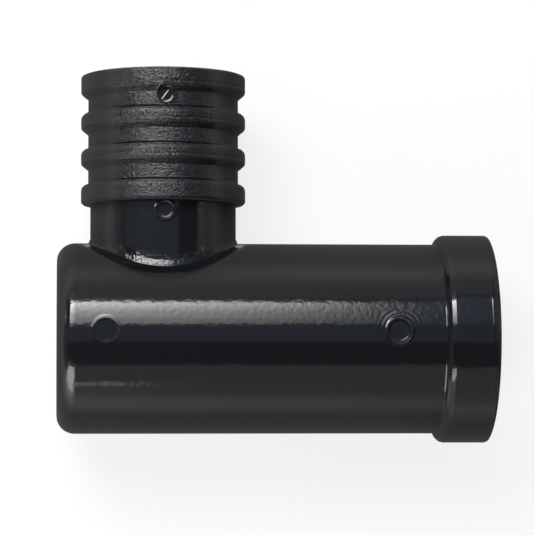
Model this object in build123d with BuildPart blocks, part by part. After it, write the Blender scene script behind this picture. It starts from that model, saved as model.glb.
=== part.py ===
"""Female threaded elbow, injection moulded in one piece from black plastic.

A long closed body lies along X with its threaded mouth at the origin, looking
towards +X. A ribbed hose spigot leaves the body near its closed end, towards +Y.
Z points up when the elbow lies on its side. Sizes are in millimetres.
"""

import math
import os

from build123d import *

# Body and female thread
thread_radius = 13.22  # half the major diameter of a G 3/4 thread, which is the plain bore's wall
thread_length = 16.0  # from the mouth to the seat at the end of the thread
lead_in = 0.4  # 45 degree countersink at the mouth
thread_wall = 2.54  # plastic between the thread and the plain body
seat_step = 1.22  # the waterway is this much narrower in radius than the thread
mouth_reach = 54.0  # from the spigot's axis to the mouth
end_reach = 17.6  # from the spigot's axis to the closed end
end_wall = 3.0  # thickness of the closed end
end_rounding = 3.0  # outer edge of the closed end

# Collar round the mouth
collar_step = 1.53  # how far the collar stands proud of the body
collar_length = 8.6
collar_back_rounding = 1.3  # outer edge away from the mouth
collar_root_blend = 0.22  # where the collar's back face meets the body
mouth_rounding = 0.5  # outer edge of the mouth

# Spigot
spigot_bore = 9.0  # radius
spigot_wall = 3.47  # plastic between the bore and the floor of the grooves
spigot_lead_in = 0.5  # inner edge of the rim
neck_step = 0.37  # the neck is this much narrower in radius than the groove floors
neck_flattening = 1.35  # half the difference between the neck's width and its depth along Z
neck_length = 6.48  # from the top line of the body to the last rib
neck_flare = 0.8  # length of the neck's foot, which widens towards the body
neck_foot = 0.3  # how far the foot runs out over the body
rib_height = 1.19
rib_root_blend = 0.27  # where a groove's floor meets the shoulder of the next rib
rib_edge_rounding = 0.55  # between a rib's crest and its sloping underside
rim_rounding = 0.4
top_land = 2.88  # length of the ring at the rim
middle_ribs = 2
middle_land = 2.46  # length of a middle rib with its rounded shoulder
last_land = 2.83  # length of the rib next to the neck
groove_floor = 2.5  # flat between two ribs
rib_slope = 0.97  # length of the sloping underside of a rib
last_edge_break = 0.35  # under the rib next to the neck, which ends in a flat ledge

# Straight facets that stand for a rounding
small_facets = 2
large_facets = 3

# Marks of the ejector pins, all on the side that lies uppermost
body_pin = 1.85  # radius
spigot_pin = 1.3  # radius
pin_sink = 0.33  # depth of a pin's flat face under the highest line of the surface
pin_flare = 0.3  # width of the soft sloping edge round a mark
body_pin_lift = 0.8  # the body's marks lie a little to the spigot's side of its highest line
closed_pin_inset = 7.95  # from the closed end to the mark near it
collar_pin_inset = 7.75  # from the collar's back face to the mark near it
groove_pin_drop = 4.45  # from the rim to the mark in the first groove
neck_pin_drop = 1.75  # from the last rib to the mark on the neck

# Worked out from the sizes above
body_radius = thread_radius + thread_wall
collar_radius = body_radius + collar_step
waterway_radius = thread_radius - seat_step
groove_radius = spigot_bore + spigot_wall
neck_half_width = groove_radius - neck_step
neck_half_depth = neck_half_width - neck_flattening
rib_radius = groove_radius + rib_height
closed_end_x = -mouth_reach - end_reach
bottom_x = closed_end_x + end_wall
last_rib_y = body_radius + neck_length
ribbed_length = (
    top_land
    + (middle_ribs + 1) * (rib_slope + groove_floor)
    + middle_ribs * middle_land
    + last_land
    + last_edge_break
)
rim_y = last_rib_y + ribbed_length

spigot_plane = Plane(origin=(-mouth_reach, 0, 0), x_dir=(1, 0, 0), z_dir=(0, 0, 1))
spigot_axis = Axis((-mouth_reach, 0, 0), (0, 1, 0))
spigot_base = Plane(origin=(-mouth_reach, 0, 0), x_dir=(1, 0, 0), z_dir=(0, 1, 0))


def circles_at(part, axis, station):
    """Circular edges of the part round one station along an axis, the smallest first."""
    slack = 0.001
    circles = part.edges().filter_by(GeomType.CIRCLE)
    return circles.filter_by_position(axis, station - slack, station + slack).sort_by(SortBy.RADIUS)


def corner_points(before, corner, after, rounding, count):
    """Points of a small rounding drawn as straight facets, on the way from before to after."""
    ways = [(Vector(*end) - Vector(*corner)).normalized() for end in (before, after)]
    half_angle = math.radians(ways[0].get_angle(ways[1])) / 2
    setback = rounding / math.tan(half_angle)
    centre = Vector(*corner) + (ways[0] + ways[1]).normalized() * (rounding / math.sin(half_angle))
    start = Vector(*corner) + ways[0] * setback - centre
    turn = math.copysign(180 - 2 * math.degrees(half_angle), ways[1].cross(ways[0]).Z)
    spokes = [start.rotate(Axis.Z, turn * step / count) for step in range(count + 1)]
    return [tuple(centre + spoke)[:2] for spoke in spokes]


os.makedirs("parts", exist_ok=True)

with BuildPart() as elbow:
    # Solid body with its collar, turned about X, then rounded at the closed end
    body_end = (closed_end_x, body_radius)
    collar_root = (-collar_length, body_radius)
    collar_back = (-collar_length, collar_radius)
    mouth_edge = (0, collar_radius)
    root_points = corner_points(body_end, collar_root, collar_back, collar_root_blend, small_facets)
    back_points = corner_points(collar_root, collar_back, mouth_edge, collar_back_rounding, large_facets)
    mouth_points = corner_points(collar_back, mouth_edge, (0, 0), mouth_rounding, small_facets)
    with BuildSketch(Plane.XY):
        with BuildLine():
            Polyline(
                (closed_end_x, 0),
                body_end,
                *root_points,
                *back_points,
                *mouth_points,
                (0, 0),
                close=True,
            )
        make_face()
    revolve(axis=Axis.X)
    fillet(circles_at(elbow, Axis.X, closed_end_x), end_rounding)

    # Slightly oval neck with a foot that widens towards the body
    with BuildSketch(spigot_base):
        Ellipse(neck_half_width, neck_half_depth)
    extrude(amount=last_rib_y)
    neck_side = elbow.faces().filter_by(GeomType.EXTRUSION)[0]
    chamfer(elbow.edges(Select.NEW), neck_flare, neck_foot, reference=neck_side)

    # Solid ribbed spigot, turned about its own axis: rim, grooves and ribs
    rim_centre = (0, rim_y)
    rim_edge = (rib_radius, rim_y)
    crest_end = (rib_radius, rim_y - top_land)
    outline = [rim_centre]
    outline += corner_points(rim_centre, rim_edge, crest_end, rim_rounding, small_facets)
    for land in [middle_land] * middle_ribs + [last_land]:
        crest_start = (rib_radius, crest_end[1] + groove_floor)
        floor_start = (groove_radius, crest_end[1] - rib_slope)
        floor_end = (groove_radius, floor_start[1] - groove_floor)
        shoulder = (rib_radius, floor_end[1])
        crest_end = (rib_radius, floor_end[1] - land)
        slope_edge = (rib_radius, floor_start[1] + rib_slope)
        outline += corner_points(crest_start, slope_edge, floor_start, rib_edge_rounding, small_facets)
        outline += [floor_start]
        outline += corner_points(floor_start, floor_end, shoulder, rib_root_blend, small_facets)
        above_root = rib_height - rib_root_blend
        shoulder_points = corner_points(floor_end, shoulder, crest_end, above_root, large_facets)
        outline += shoulder_points[1:]  # the shoulder starts where the blend at its root ends
    outline += [
        crest_end,
        (rib_radius - last_edge_break, last_rib_y),
        (0, last_rib_y),
    ]
    with BuildSketch(spigot_plane):
        with BuildLine():
            Polyline(*outline, close=True)
        make_face()
    revolve(axis=spigot_axis)

    # Threaded bore, its seat and the waterway behind it
    with BuildSketch(Plane.XY):
        with BuildLine():
            Polyline(
                (0, 0),
                (0, thread_radius + lead_in),
                (-lead_in, thread_radius),
                (-thread_length, thread_radius),
                (-thread_length, waterway_radius),
                (bottom_x, waterway_radius),
                (bottom_x, 0),
                close=True,
            )
        make_face()
    revolve(axis=Axis.X, mode=Mode.SUBTRACT)

    # Straight bore of the spigot, from the body's axis to the rim
    with BuildSketch(spigot_base):
        Circle(spigot_bore)
    extrude(amount=rim_y, mode=Mode.SUBTRACT)
    chamfer(circles_at(elbow, Axis.Y, rim_y)[0], spigot_lead_in)

    # Marks of the ejector pins: a flat sunk face with a sloping edge round it
    pin_marks = [
        (body_pin, closed_end_x + closed_pin_inset, body_pin_lift, body_radius),
        (body_pin, -collar_length - collar_pin_inset, body_pin_lift, body_radius),
        (spigot_pin, -mouth_reach, rim_y - groove_pin_drop, groove_radius),
        (spigot_pin, -mouth_reach, last_rib_y - neck_pin_drop, neck_half_depth),
    ]
    for pin, pin_x, pin_y, surface_z in pin_marks:
        with BuildSketch(Plane(origin=(pin_x, pin_y, surface_z), x_dir=(1, 0, 0), z_dir=(0, -1, 0))):
            with BuildLine():
                Polyline(
                    (0, -pin_sink),
                    (pin, -pin_sink),
                    (pin + pin_flare, 0),
                    (pin + pin_flare, rib_height),
                    (0, rib_height),
                    close=True,
                )
            make_face()
        revolve(axis=Axis((pin_x, pin_y, 0), (0, 0, 1)), mode=Mode.SUBTRACT)

elbow.part.label = "threaded_elbow"
export_step(elbow.part, "parts/threaded_elbow.step")
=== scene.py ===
# %% [markdown]
# Female threaded elbow. The real object is one injection moulding of black plastic: a long round
# body that is closed at its left end, a thicker collar round the threaded mouth at its right end,
# and a ribbed hose spigot at a right angle. The CAD part gives all of its main shapes, so this
# script adds the turns of the thread, the finish of the plastic, the light and the camera.

# %% Load the frame
import math

import bmesh
import bpy
from mathutils import Matrix, Vector


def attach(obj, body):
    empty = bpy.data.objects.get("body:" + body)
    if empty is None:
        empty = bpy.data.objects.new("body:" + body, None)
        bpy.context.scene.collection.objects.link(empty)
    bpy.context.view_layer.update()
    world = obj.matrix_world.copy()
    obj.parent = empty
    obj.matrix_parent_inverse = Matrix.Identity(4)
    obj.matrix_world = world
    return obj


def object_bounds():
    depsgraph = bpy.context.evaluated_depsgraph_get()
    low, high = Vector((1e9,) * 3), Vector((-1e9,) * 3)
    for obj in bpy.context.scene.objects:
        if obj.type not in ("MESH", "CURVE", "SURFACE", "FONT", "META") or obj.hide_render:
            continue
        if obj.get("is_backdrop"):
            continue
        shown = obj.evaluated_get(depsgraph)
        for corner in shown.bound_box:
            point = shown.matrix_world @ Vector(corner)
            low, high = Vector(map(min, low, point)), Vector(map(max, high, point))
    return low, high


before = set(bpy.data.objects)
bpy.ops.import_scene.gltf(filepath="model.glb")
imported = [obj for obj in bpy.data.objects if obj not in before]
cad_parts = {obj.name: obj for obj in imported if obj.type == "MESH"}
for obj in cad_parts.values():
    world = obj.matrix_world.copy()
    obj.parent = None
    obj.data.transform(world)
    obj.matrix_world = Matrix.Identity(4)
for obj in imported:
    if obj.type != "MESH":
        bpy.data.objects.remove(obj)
cad_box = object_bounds()
print("CAD nodes", list(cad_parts))

# %% [markdown]
# Blender counts in metres, while the sizes of a small moulding are easier to read in millimetres.
# Two helpers change one into the other, so that the lengths below are written in millimetres.

# %% Millimetres
MM_IN_A_METRE = 1000


def mm(*values):
    """Lengths in millimetres as Blender's metres: one number, or a vector of three."""
    metres = [v / MM_IN_A_METRE for v in values]
    return metres[0] if len(metres) == 1 else Vector(metres)


def in_mm(metres):
    """Lengths in metres as rounded millimetres, to print them."""
    return [round(length * MM_IN_A_METRE, 2) for length in metres]


print("CAD box", [in_mm(corner) for corner in cad_box])

# %% [markdown]
# The camera stands almost straight above the elbow, which lies on its side. It could be moved by
# hand until the picture looks right, but its place was worked out instead: the straight edges of
# the collar, the ribs and the closed end fall where the photograph has them. A long lens from
# about half a metre gives the slight fan of the rims.

# %% Camera
IMAGE_SIDE = 535
SENSOR = 36.0
FOCAL_PIXELS = 2700.0
AIM = mm(-36.592, 11.884, 0)
CAMERA_DISTANCE = 450
CLIP_START, CLIP_END = 10, 10000
LEAN_LEFT = math.radians(4.339)
LEAN_DOWN = math.radians(3.87)
ROLL = math.radians(-0.096)

toward_camera = Vector((-math.tan(LEAN_LEFT), -math.tan(LEAN_DOWN), 1)).normalized()
level_right = Vector((0, 1, 0)).cross(toward_camera).normalized()
level_up = toward_camera.cross(level_right)
right = math.cos(ROLL) * level_right + math.sin(ROLL) * level_up
up = toward_camera.cross(right)

camera = bpy.data.objects.new("camera", bpy.data.cameras.new("camera"))
bpy.context.scene.collection.objects.link(camera)
camera.data.sensor_width = SENSOR
camera.data.lens = FOCAL_PIXELS * SENSOR / IMAGE_SIDE
camera.data.clip_start, camera.data.clip_end = mm(CLIP_START), mm(CLIP_END)
turn = Matrix((right, up, toward_camera)).transposed().to_4x4()
camera.matrix_world = Matrix.Translation(AIM + mm(CAMERA_DISTANCE) * toward_camera) @ turn
bpy.context.scene.camera = camera
print("camera", in_mm(camera.location), "lens", round(camera.data.lens, 1))

# %% [markdown]
# The turns of the female thread are one ridge on the wall of the plain bore. A bump could draw
# them, but at the mouth they are seen from the side, so they are real faces. The ridge starts as
# its own outline, a trapezium with a narrow crest: a plane that stands across the wall, with its
# inner edge narrowed. Its base is sunk a little into the wall, so that no gap shows.

# %% Thread: the ridge's outline
WALL_RADIUS = 13.22
CREST_RADIUS = 12.06
BASE_WIDTH = 1.6
CREST_WIDTH = 0.34
BASE_SINK = 0.08
FIRST_TURN_X = -1.9


def deselect_all():
    """Leave every object and the active object unselected, in object mode."""
    bpy.ops.object.select_all(action="DESELECT")
    bpy.context.view_layer.objects.active = None


base_radius = WALL_RADIUS + BASE_SINK
middle_radius = (base_radius + CREST_RADIUS) / 2
deselect_all()
bpy.ops.mesh.primitive_plane_add(size=mm(1), location=mm(FIRST_TURN_X, 0, middle_radius))
ridge = bpy.context.object
ridge.name = ridge.data.name = "thread_turns"
ridge.rotation_euler = (math.pi / 2, 0, 0)
ridge.scale = (BASE_WIDTH, base_radius - CREST_RADIUS, 1)
bpy.ops.object.transform_apply(location=True, rotation=True, scale=True)

bpy.ops.object.mode_set(mode="EDIT")
mesh = bmesh.from_edit_mesh(ridge.data)
for vertex in mesh.verts:
    vertex.select_set(vertex.co.z < mm(middle_radius))
mesh.select_flush(True)
bmesh.update_edit_mesh(ridge.data)
narrowing = (CREST_WIDTH / BASE_WIDTH, 1, 1)
bpy.ops.transform.resize(value=narrowing, center_override=mm(FIRST_TURN_X, 0, CREST_RADIUS))
bpy.ops.mesh.select_all(action="SELECT")
bpy.ops.mesh.delete(type="ONLY_FACE")
bpy.ops.object.mode_set(mode="OBJECT")
print("outline", len(ridge.data.vertices), "corners, size", in_mm(ridge.dimensions))

# %% [markdown]
# A Screw modifier winds the outline round the bore and along it. It could also be copied round
# step by step, but the modifier takes the pitch and the turns as a thread is described. Pitch
# and angle are both below 0: the ridge goes deeper while it turns clockwise, as seen from the
# mouth, which makes the thread right-handed.

# %% Thread: the helix
THREAD_PITCH = 1.814
THREAD_TURNS = 7
STEPS_PER_TURN = 72

screw = ridge.modifiers.new("helix", "SCREW")
screw.axis = "X"
screw.angle = -2 * math.pi
screw.screw_offset = mm(-THREAD_PITCH)
screw.iterations = THREAD_TURNS
screw.steps = screw.render_steps = STEPS_PER_TURN
screw.use_merge_vertices = False
screw.use_smooth_shade = False
bpy.ops.object.modifier_apply(modifier=screw.name)
print("helix", len(ridge.data.polygons), "faces, size", in_mm(ridge.dimensions))

# %% [markdown]
# At both ends a moulded thread fades away into the wall. The ridge could just stop, but its flat
# cut end would show at the mouth. So each end is closed with a face, and the face is extruded on
# in short steps that follow the helix and move outwards, until the crest is inside the wall.

# %% Thread: the faded ends
RUN_OUT_STEPS = 9
RUN_OUT_GROWTH = 1.0108
SMOOTH_UP_TO = math.radians(20)
AT_MOUTH, DEEP_INSIDE = 1, -1

step_length = THREAD_PITCH / STEPS_PER_TURN
step_angle = 2 * math.pi / STEPS_PER_TURN


def select_end(end):
    """Select the four corners at one end of the ridge."""
    bpy.ops.mesh.select_mode(type="VERT")
    bpy.ops.mesh.select_all(action="DESELECT")
    bpy.ops.mesh.select_non_manifold()
    mesh = bmesh.from_edit_mesh(ridge.data)
    middle = sum(v.co.x for v in mesh.verts) / len(mesh.verts)
    for vertex in mesh.verts:
        if vertex.select and (vertex.co.x - middle) * end < 0:
            vertex.select_set(False)
    mesh.select_flush(False)
    bmesh.update_edit_mesh(ridge.data)


deselect_all()
bpy.context.view_layer.objects.active = ridge
ridge.select_set(True)
bpy.ops.object.mode_set(mode="EDIT")
for end in (AT_MOUTH, DEEP_INSIDE):
    select_end(end)
    bpy.ops.mesh.edge_face_add()
    for step in range(RUN_OUT_STEPS):
        bpy.ops.mesh.extrude_region_move()
        bpy.ops.transform.translate(value=mm(end * step_length, 0, 0))
        turn_on = -end * step_angle
        bpy.ops.transform.rotate(value=turn_on, orient_axis="X", center_override=(0, 0, 0))
        growth = (1, RUN_OUT_GROWTH, RUN_OUT_GROWTH)
        bpy.ops.transform.resize(value=growth, center_override=(0, 0, 0))
bpy.ops.mesh.select_all(action="SELECT")
bpy.ops.mesh.normals_make_consistent(inside=False)
bpy.ops.object.mode_set(mode="OBJECT")
bpy.ops.object.shade_smooth_by_angle(angle=SMOOTH_UP_TO)
print("thread", len(ridge.data.polygons), "faces, size", in_mm(ridge.dimensions))

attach(ridge, "root")

# %% [markdown]
# One black plastic covers everything, but it has two finishes. The body, the collar and the neck
# come from a polished mould and are glossy. The ribs come from a spark-eroded part of the mould,
# which leaves a fine bright grain. Two materials would need the elbow's faces sorted, so there is
# one, and it tells the finishes apart by place. Short helpers write its chains of Math nodes.

# %% Plastic: colour and node helpers
PLASTIC_BLACK = (0.0055, 0.0059, 0.0070, 1)
PLASTIC_IOR = 1.5

plastic = bpy.data.materials.new("moulded_black_plastic")
plastic.use_nodes = True
nodes, links = plastic.node_tree.nodes, plastic.node_tree.links
gloss = nodes["Principled BSDF"]
gloss.inputs["Base Color"].default_value = PLASTIC_BLACK
gloss.inputs["IOR"].default_value = PLASTIC_IOR


def maths(operation, first, second=0):
    """One Math node in the tree at hand, on two inputs that are sockets or numbers."""
    node = nodes.new("ShaderNodeMath")
    node.operation = operation
    for socket, value in zip(node.inputs, (first, second)):
        if isinstance(value, (int, float)):
            socket.default_value = value
        else:
            links.new(value, socket)
    return node.outputs[0]


def product(first, *others):
    """Sockets and numbers multiplied one after another."""
    for other in others:
        first = maths("MULTIPLY", first, other)
    return first


def total(first, *others):
    """Sockets and numbers added one after another."""
    for other in others:
        first = maths("ADD", first, other)
    return first


def squares(first, second):
    """The sum of two squares, which is the square of a distance."""
    return total(product(first, first), product(second, second))


def away_from(centre, value):
    """How far a value lies from a place on its axis, to either side."""
    return maths("ABSOLUTE", maths("SUBTRACT", value, mm(centre)))


def share(value, start, end, shape="SMOOTHSTEP"):
    """How far a value has gone from start to end, from 0 to 1."""
    node = nodes.new("ShaderNodeMapRange")
    node.interpolation_type = shape
    node.inputs["From Min"].default_value = start
    node.inputs["From Max"].default_value = end
    links.new(value, node.inputs["Value"])
    return node.outputs["Result"]


print("plastic", plastic.name, "colour", PLASTIC_BLACK[:3])

# %% [markdown]
# Object coordinates tell the place in metres, the same on every piece, because each of them has
# its origin at the mouth's centre. The grain covers the outside of the spigot past the neck, and
# not the bore. A painted mask would need an unwrapped mesh, and two comparisons do the same.

# %% Plastic: where the grain is
SPIGOT_AXIS_X = -54.0
GRAIN_STARTS_Y = 22.3
GRAIN_INNER_RADIUS = 9.6

place = nodes.new("ShaderNodeTexCoord").outputs["Object"]
axes = nodes.new("ShaderNodeSeparateXYZ")
links.new(place, axes.inputs[0])
x, y, z = axes.outputs
beside_axis = maths("SUBTRACT", x, mm(SPIGOT_AXIS_X))
past_neck = maths("GREATER_THAN", y, mm(GRAIN_STARTS_Y))
outside_bore = maths("GREATER_THAN", squares(beside_axis, z), mm(GRAIN_INNER_RADIUS) ** 2)
grainy = product(past_neck, outside_bore)
print("grain from y", GRAIN_STARTS_Y, "mm, outside radius", GRAIN_INNER_RADIUS, "mm")

# %% [markdown]
# The gloss is a low roughness. It rises where a round shape turns away from the eye, because
# there the real elbow shows only a soft grey, while a clean mirror would draw bright white rims.
# On the polished parts Layer Weight tells how far the surface is turned away. On the ribs it
# would also blur the narrow steps, so there the distance from the spigot's middle tells it.

# %% Plastic: where the shape turns away
TURNING_STARTS, TURNING_ENDS = 0.08, 0.45
RIB_SIDES_START, RIB_SIDES_END = 6.0, 11.0

facing = nodes.new("ShaderNodeLayerWeight").outputs["Facing"]
turned_away = share(facing, TURNING_STARTS, TURNING_ENDS)
beside_middle = share(maths("ABSOLUTE", beside_axis), mm(RIB_SIDES_START), mm(RIB_SIDES_END))
print("polished parts blur from", TURNING_STARTS, "ribs from", RIB_SIDES_START, "mm")

# %% [markdown]
# Two places stay glossy although they turn away: the corner behind the collar, and the body
# round the neck's foot. They mirror the black plastic beside them, which draws dark lines. The
# corner is a narrow band along X that ends towards the outline, where it would mirror the white
# floor. The surround of the foot follows the neck's oval, and lies only on the body's surface.

# %% Plastic: dark corners
CORNER_X, CORNER_HALF_WIDTH, CORNER_FADE = -8.45, 0.35, 0.2
CORNER_FROM_Y, CORNER_TO_Y = 8.5, 12.5
BODY_RADIUS = 15.76
NECK_HALF_WIDTH, NECK_HALF_DEPTH = 12.1, 10.75
SURFACE_SLACK = 0.06
FOOT_SURROUND, SURROUND_ENDS = 0.12, 0.24
SURROUND_FROM_Z, SURROUND_FULL_Z = 2.0, 5.0

beside_corner = away_from(CORNER_X, x)
off_corner = share(beside_corner, mm(CORNER_HALF_WIDTH), mm(CORNER_HALF_WIDTH + CORNER_FADE))
towards_sides = share(maths("ABSOLUTE", y), mm(CORNER_FROM_Y), mm(CORNER_TO_Y))
blurred = maths("MAXIMUM", off_corner, towards_sides)

off_body = maths("SUBTRACT", maths("SQRT", squares(y, z)), mm(BODY_RADIUS))
across_neck = maths("DIVIDE", beside_axis, mm(NECK_HALF_WIDTH))
along_neck_depth = maths("DIVIDE", z, mm(NECK_HALF_DEPTH))
off_neck = maths("SUBTRACT", maths("SQRT", squares(across_neck, along_neck_depth)), 1)
round_foot = share(off_neck, SURROUND_ENDS, FOOT_SURROUND)
on_body = maths("LESS_THAN", maths("ABSOLUTE", off_body), mm(SURFACE_SLACK))
spigot_side = maths("GREATER_THAN", y, 0)
off_outline = share(maths("ABSOLUTE", z), mm(SURROUND_FROM_Z), mm(SURROUND_FULL_Z))
round_foot = product(round_foot, on_body, spigot_side, off_outline)
blurred = product(blurred, maths("SUBTRACT", 1, round_foot))
print("corner at x", CORNER_X, "mm, foot's surround", FOOT_SURROUND, "of the neck's size")

# %% [markdown]
# Roughness now goes from a glossy middle to blurred sides, in one way on the polished parts and
# in another on the ribs. Where the grain is, the difference between the two is added, so one
# chain of numbers serves both finishes.

# %% Plastic: roughness
POLISHED_ROUGHNESS = 0.12
GRAIN_ROUGHNESS = 0.09
EDGE_ROUGHNESS = 0.95


def blurs(glossy, blur):
    """A roughness that rises from its glossy value to that of the edges."""
    return total(product(blur, EDGE_ROUGHNESS - glossy), glossy)


polished = blurs(POLISHED_ROUGHNESS, product(turned_away, blurred))
grained = blurs(GRAIN_ROUGHNESS, beside_middle)
grain_adds = product(maths("SUBTRACT", grained, polished), grainy)
links.new(total(polished, grain_adds), gloss.inputs["Roughness"])
print("roughness", POLISHED_ROUGHNESS, "and", GRAIN_ROUGHNESS, "up to", EDGE_ROUGHNESS)

# %% [markdown]
# The unevenness that is too fine to model is one bump, whose height is a sum. Faint waves make
# the edges of reflections wobble everywhere. They are stronger on the neck's foot, where the
# mould was blended by hand and the plastic sparkles. The grain covers the ribs.

# %% Plastic: waves and grain
SOFT, FINE = 1.0, 2.0
WAVE_LENGTH, WAVE_HEIGHT = 0.9, 0.02
GRAIN_LENGTH, GRAIN_HEIGHT = 0.3, 0.17
FOOT_WAVE_LENGTH, FOOT_WAVE_HEIGHT = 0.8, 0.16
FOOT_WAVES_UP_TO = 1.7
NECK_RADIUS = 12.6


def unevenness(length, height, detail):
    """A noise of one wave length as a height."""
    noise = nodes.new("ShaderNodeTexNoise")
    noise.inputs["Scale"].default_value = 1 / mm(length)
    noise.inputs["Detail"].default_value = detail
    links.new(place, noise.inputs["Vector"])
    return product(noise.outputs["Fac"], mm(height))


waves = unevenness(WAVE_LENGTH, WAVE_HEIGHT, SOFT)
grain = product(unevenness(GRAIN_LENGTH, GRAIN_HEIGHT, FINE), grainy)

clear_of_body = maths("GREATER_THAN", off_body, mm(SURFACE_SLACK))
near_neck = maths("LESS_THAN", maths("ABSOLUTE", beside_axis), mm(NECK_RADIUS))
on_foot = product(share(off_body, mm(FOOT_WAVES_UP_TO), 0), clear_of_body, near_neck)
foot_waves = product(unevenness(FOOT_WAVE_LENGTH, FOOT_WAVE_HEIGHT, FINE), on_foot)
print("waves", WAVE_HEIGHT, "grain", GRAIN_HEIGHT, "foot", FOOT_WAVE_HEIGHT, "mm high")

# %% [markdown]
# Two fine lines run round every rib: a groove above its lower edge, and a bead in the corner at
# its upper side. The ribs repeat at one pitch, so a modulo of Y draws all of them at once. The
# groove is left out on the lowest rib, and the bead on the ring at the rim. A third line runs
# round the collar near its mouth, and a noise breaks it up.

# %% Plastic: fine lines
RIM_RING_EDGE_Y = 40.75
RIB_PITCH = 5.93
RIBS = 3
GROOVE_LINE, GROOVE_HALF_WIDTH, GROOVE_DEPTH = 0.57, 0.32, 0.10
BEAD_LINE, BEAD_HALF_WIDTH, BEAD_HEIGHT = 2.46, 0.45, 0.18
GROOVES_FROM_Y, BEADS_UP_TO_Y = 27.0, 42.0
COLLAR_LINE_X, COLLAR_LINE_HALF_WIDTH, COLLAR_LINE_HEIGHT = -1.27, 0.2, 0.05
BREAK_LENGTH = 1.0
ABOVE_BODY = 1.0

last_rib_edge_y = RIM_RING_EDGE_Y - RIBS * RIB_PITCH
above_last_edge = maths("SUBTRACT", y, mm(last_rib_edge_y))
above_edge = maths("FLOORED_MODULO", above_last_edge, mm(RIB_PITCH))


def rib_line(above, half_width, height):
    """A fine bead round every rib, or a groove where the height is below 0."""
    return product(share(away_from(above, above_edge), mm(half_width), 0), mm(height))


groove_line = rib_line(GROOVE_LINE, GROOVE_HALF_WIDTH, -GROOVE_DEPTH)
groove_line = product(groove_line, maths("GREATER_THAN", y, mm(GROOVES_FROM_Y)))
bead_line = rib_line(BEAD_LINE, BEAD_HALF_WIDTH, BEAD_HEIGHT)
bead_line = product(bead_line, maths("LESS_THAN", y, mm(BEADS_UP_TO_Y)))
rib_lines = product(total(groove_line, bead_line), grainy)

on_line = share(away_from(COLLAR_LINE_X, x), mm(COLLAR_LINE_HALF_WIDTH), 0)
on_collar = maths("GREATER_THAN", off_body, mm(ABOVE_BODY))
collar_line = product(on_line, unevenness(BREAK_LENGTH, COLLAR_LINE_HEIGHT, SOFT), on_collar)
lines = total(rib_lines, collar_line)
print("last rib's lower edge at y", round(last_rib_edge_y, 2), "mm")

# %% [markdown]
# An ejector pin leaves a sunk disc, which is in the CAD part. Inside it the plastic rises a
# little towards its edge, and outside it a low lip falls away, both on the upper side only. They
# are too low for faces, so the bump draws them. The lip catches the light at the mark's upper
# left, and the rise at its lower right.

# %% Plastic: lips of the pin marks
BODY_PIN, SPIGOT_PIN = 1.85, 1.3
MARK_EDGE = 0.3
LIP_WIDTH = 0.42
HIGH_LIP, MIDDLE_LIP, LOW_LIP = 0.065, 0.05, 0.03
GROOVE_MARK = (-54.0, 39.18)
NECK_MARK = (-54.0, 20.49)
CLOSED_END_MARK = (-63.65, 0.8)
COLLAR_MARK = (-16.35, 0.8)


def offset(mark):
    """How far a place lies from a mark's centre, along X and along Y."""
    return maths("SUBTRACT", x, mm(mark[0])), maths("SUBTRACT", y, mm(mark[1]))


def distance(mark):
    """How far a place lies from a mark's centre, seen from above."""
    return maths("SQRT", squares(*offset(mark)))


def lip(mark, pin, height):
    """Height of the ring round a mark: it rises inside the sunk disc and falls outside it."""
    away = distance(mark)
    rise = share(away, mm(pin - LIP_WIDTH), mm(pin))
    fall = share(away, mm(pin + MARK_EDGE + LIP_WIDTH), mm(pin + MARK_EDGE))
    return product(rise, fall, mm(height))


closed_end_lip = lip(CLOSED_END_MARK, BODY_PIN, LOW_LIP)
collar_lip = lip(COLLAR_MARK, BODY_PIN, HIGH_LIP)
neck_lip = lip(NECK_MARK, SPIGOT_PIN, MIDDLE_LIP)
groove_lip = lip(GROOVE_MARK, SPIGOT_PIN, HIGH_LIP)
print("lips", LOW_LIP, "to", HIGH_LIP, "mm high")

# %% [markdown]
# Round the mark near the collar the plastic sank in faint rings, like ripples: a sine of the
# distance from the mark, which fades outwards.

# %% Plastic: rings round the collar's mark
RING_PITCH, RING_HEIGHT, RINGS_UP_TO = 0.78, 0.012, 4.4

away = distance(COLLAR_MARK)
ring_turns = product(maths("SUBTRACT", away, mm(BODY_PIN)), 2 * math.pi / mm(RING_PITCH))
ring_fade = share(away, mm(RINGS_UP_TO), mm(BODY_PIN + MARK_EDGE))
outside_mark = maths("GREATER_THAN", away, mm(BODY_PIN + MARK_EDGE))
rings = product(maths("SINE", ring_turns), product(ring_fade, outside_mark), mm(RING_HEIGHT))
print("rings every", RING_PITCH, "mm, up to", RINGS_UP_TO, "mm from the mark's centre")

# %% [markdown]
# The disc in the first groove is smooth, and a slanted scar crosses it. The place is turned into
# a length along the scar and one across it, which give the scar its ends and its ridge.

# %% Plastic: scar in the groove's mark
SCAR_TILT = math.radians(54)
SCAR_HALF_LENGTH, SCAR_HALF_WIDTH = 0.95, 0.2
SCAR_HEIGHT = 0.05

off_x, off_y = offset(GROOVE_MARK)
tilt_x, tilt_y = math.cos(SCAR_TILT), math.sin(SCAR_TILT)
lengthwise = total(product(off_x, tilt_x), product(off_y, tilt_y))
crosswise = maths("SUBTRACT", product(off_x, tilt_y), product(off_y, tilt_x))
within = maths("LESS_THAN", maths("ABSOLUTE", lengthwise), mm(SCAR_HALF_LENGTH))
across = share(maths("ABSOLUTE", crosswise), mm(SCAR_HALF_WIDTH), 0)
scar = product(across, within, mm(SCAR_HEIGHT))
print("scar", 2 * SCAR_HALF_LENGTH, "mm long and", SCAR_HEIGHT, "mm high")

# %% [markdown]
# All heights are added up and go through one Bump node. Several bumps could stand in a row, but
# in one sum each height keeps its own size in millimetres. The marks are on the upper side only.
# The finished plastic then goes on the elbow and on the thread.

# %% Plastic: one bump, and where the plastic goes
HEIGHTS_IN_METRES = 1.0

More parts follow.
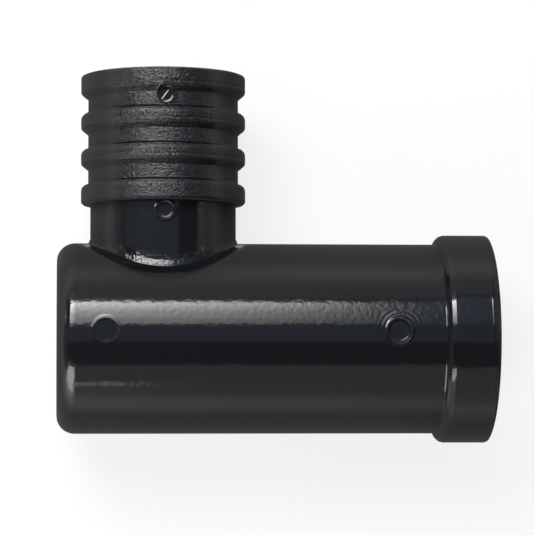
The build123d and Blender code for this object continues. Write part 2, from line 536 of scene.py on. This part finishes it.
upper_side = maths("GREATER_THAN", z, 0)
body_marks = total(closed_end_lip, collar_lip, rings)
spigot_marks = total(neck_lip, groove_lip)
marks = product(total(body_marks, spigot_marks, scar), upper_side)
on_disc = product(maths("LESS_THAN", distance(GROOVE_MARK), mm(SPIGOT_PIN)), upper_side)
grain = product(grain, maths("SUBTRACT", 1, on_disc))

bump = nodes.new("ShaderNodeBump")
bump.inputs["Distance"].default_value = HEIGHTS_IN_METRES
heights = total(total(waves, foot_waves), total(grain, lines), marks)
links.new(heights, bump.inputs["Height"])
links.new(bump.outputs["Normal"], gloss.inputs["Normal"])

plastic_pieces = list(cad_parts.values()) + [ridge]
for piece in plastic_pieces:
    piece.data.materials.clear()
    piece.data.materials.append(plastic)
print("plastic on", [piece.name for piece in plastic_pieces], "with", len(nodes), "nodes")

# %% [markdown]
# The floor is a white sheet under the elbow. A brighter lamp could wash it out to white, but
# would spoil the black too. So it shines with its own white to the camera and in reflections,
# and keeps part of its own shading, so that the elbow's soft shadow stays on it.

# %% Floor
FLOOR_SIDE = 3000
SHEET_WHITE = (0.9, 0.9, 0.9, 1)
GLOW_STRENGTH = 1.0
OWN_WHITE = 0.8

deselect_all()
bpy.ops.mesh.primitive_plane_add(size=mm(FLOOR_SIDE), location=(0, 0, cad_box[0].z))
floor = bpy.context.object
floor.name = floor.data.name = "floor"
sheet = bpy.data.materials.new("white_sheet")
sheet.use_nodes = True
nodes, links = sheet.node_tree.nodes, sheet.node_tree.links
nodes.clear()
matt = nodes.new("ShaderNodeBsdfDiffuse")
matt.inputs["Color"].default_value = SHEET_WHITE
glow = nodes.new("ShaderNodeEmission")
glow.inputs["Strength"].default_value = GLOW_STRENGTH
ray = nodes.new("ShaderNodeLightPath").outputs
seen = maths("MAXIMUM", ray["Is Camera Ray"], ray["Is Glossy Ray"])
seen = maths("MAXIMUM", seen, ray["Is Transmission Ray"])
mix = nodes.new("ShaderNodeMixShader")
links.new(product(seen, OWN_WHITE), mix.inputs["Fac"])
links.new(matt.outputs[0], mix.inputs[1])
links.new(glow.outputs[0], mix.inputs[2])
surface = nodes.new("ShaderNodeOutputMaterial")
links.new(mix.outputs[0], surface.inputs["Surface"])
floor.data.materials.append(sheet)
floor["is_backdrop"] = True
print("floor", FLOOR_SIDE, "mm wide at z", in_mm(floor.location)[2], "mm")

# %% [markdown]
# A glossy black thing is drawn by what it reflects, so the lamps stand where their reflections
# belong. An even world light would leave the elbow flat. Every lamp is a rectangular panel with
# a radiance, which is how bright it looks in a reflection, whatever its size.

# %% Light: panels
OVERHEAD = 400.0
DOWN = (0, 0, -1)
NEUTRAL = (1, 1, 1)
BLUISH = (0.72, 0.9, 1.3)


def panel(name, centre, facing, width, depth, radiance, tint=NEUTRAL):
    """A rectangular soft lamp of an even radiance, which the camera doesn't see."""
    lamp = bpy.data.lights.new(name, "AREA")
    lamp.shape = "RECTANGLE"
    lamp.size, lamp.size_y = mm(width), mm(depth)
    lamp.energy = radiance * math.pi * lamp.size * lamp.size_y
    lamp.color = tint
    holder = bpy.data.objects.new(name, lamp)
    bpy.context.scene.collection.objects.link(holder)
    turn = (-Vector(facing)).to_track_quat("Z", "Y").to_matrix().to_4x4()
    holder.matrix_world = Matrix.Translation(mm(*centre)) @ turn
    holder.visible_camera = False
    return holder


def overhead(name, left, right, near, far, radiance, tint=NEUTRAL):
    """A level panel above the elbow, given by its four edges."""
    centre = ((left + right) / 2, (near + far) / 2, OVERHEAD)
    return panel(name, centre, DOWN, right - left, far - near, radiance, tint)


print("overhead panels hang at z", OVERHEAD, "mm")

# %% [markdown]
# A wide soft box high up behind the spigot draws the long bright strip on the body. It isn't
# even: its light grows towards its far edge and towards the left, as with a lamp behind one
# corner of the cloth. Many small lamps could imitate that, but the lamp's own nodes give it from
# the place on the lamp.

# %% Light: the soft box behind the spigot
BOX_LEFT, BOX_RIGHT = -330.0, 42.0
BOX_NEAR, BOX_FAR = 110.0, 358.0
BOX_FULL_LEFT = -260.0
BOX_DIM, BOX_BRIGHT = 7.0, 35.0
FAR_STEEPNESS, LEFT_STEEPNESS = 2.0, 0.66

soft_box = overhead("soft_box", BOX_LEFT, BOX_RIGHT, BOX_NEAR, BOX_FAR, radiance=1.0).data
soft_box.use_nodes = True
nodes, links = soft_box.node_tree.nodes, soft_box.node_tree.links
spot = nodes.new("ShaderNodeSeparateXYZ")
links.new(nodes.new("ShaderNodeNewGeometry").outputs["Position"], spot.inputs[0])
far_share = share(spot.outputs["Y"], mm(BOX_NEAR), mm(BOX_FAR), "LINEAR")
left_share = share(spot.outputs["X"], mm(BOX_RIGHT), mm(BOX_FULL_LEFT), "LINEAR")
growth = product(maths("POWER", far_share, FAR_STEEPNESS), BOX_BRIGHT - BOX_DIM)
growth = total(growth, BOX_DIM)
towards_left = maths("POWER", left_share, LEFT_STEEPNESS)
links.new(product(growth, towards_left), nodes["Emission"].inputs["Strength"])
print("soft box", BOX_DIM, "to", BOX_BRIGHT)

# %% [markdown]
# The other panels are dim. A bluish one overhead tints the top of the neck and of the body, and
# another carries on to the right of the soft box. Walls at the far side and the near side show
# the upper and the lower part of the body in grey. At the left of the near side stands a second
# bright box, with a thin tail that draws the short fine line under the strip.

# %% Light: the dim panels
TO_NEAR, TO_FAR = (0, -1, 0), (0, 1, 0)
TO_LEFT, TO_RIGHT = (-1, 0, 0), (1, 0, 0)
WORLD_WHITE, WORLD_STRENGTH = (1, 1, 1, 1), 0.05

overhead("bluish_top", left=-677, right=95, near=-42, far=92, radiance=0.25, tint=BLUISH)
overhead("bluish_right", left=42, right=300, near=97, far=388, radiance=0.4, tint=BLUISH)
overhead("right_glint", left=500, right=560, near=97, far=388, radiance=2.0)
panel("far_wall", (-200, 430, 210), TO_NEAR, width=700, depth=380, radiance=0.38)
panel("near_wall", (-50, -250, 200), TO_FAR, width=800, depth=360, radiance=0.38)
panel("near_box", (-240, -248, 205), TO_FAR, width=240, depth=250, radiance=6.0)
panel("near_line", (-72, -248, 162), TO_FAR, width=32, depth=10, radiance=6.0)
panel("left_wall", (-500, -90, 210), TO_RIGHT, width=300, depth=380, radiance=0.15)
panel("left_glint", (-450, 150, 190), TO_RIGHT, width=80, depth=90, radiance=4.0)
panel("right_wall", (430, 60, 220), TO_LEFT, width=500, depth=400, radiance=0.3)

world = bpy.data.worlds.new("studio")
world.use_nodes = True
background = world.node_tree.nodes["Background"]
background.inputs["Color"].default_value = WORLD_WHITE
background.inputs["Strength"].default_value = WORLD_STRENGTH
bpy.context.scene.world = world

# %% [markdown]
# The plain colour transform shows the colours as they are written. The box of everything that
# belongs to the elbow is written down beside that of the CAD part, to show that the thread stays
# inside it.

# %% Colour and sizes
bpy.context.scene.view_settings.view_transform = "Standard"
boxes = {"cad": cad_box, "visual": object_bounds()}
for name, box in boxes.items():
    print(name, "box", [in_mm(corner) for corner in box])
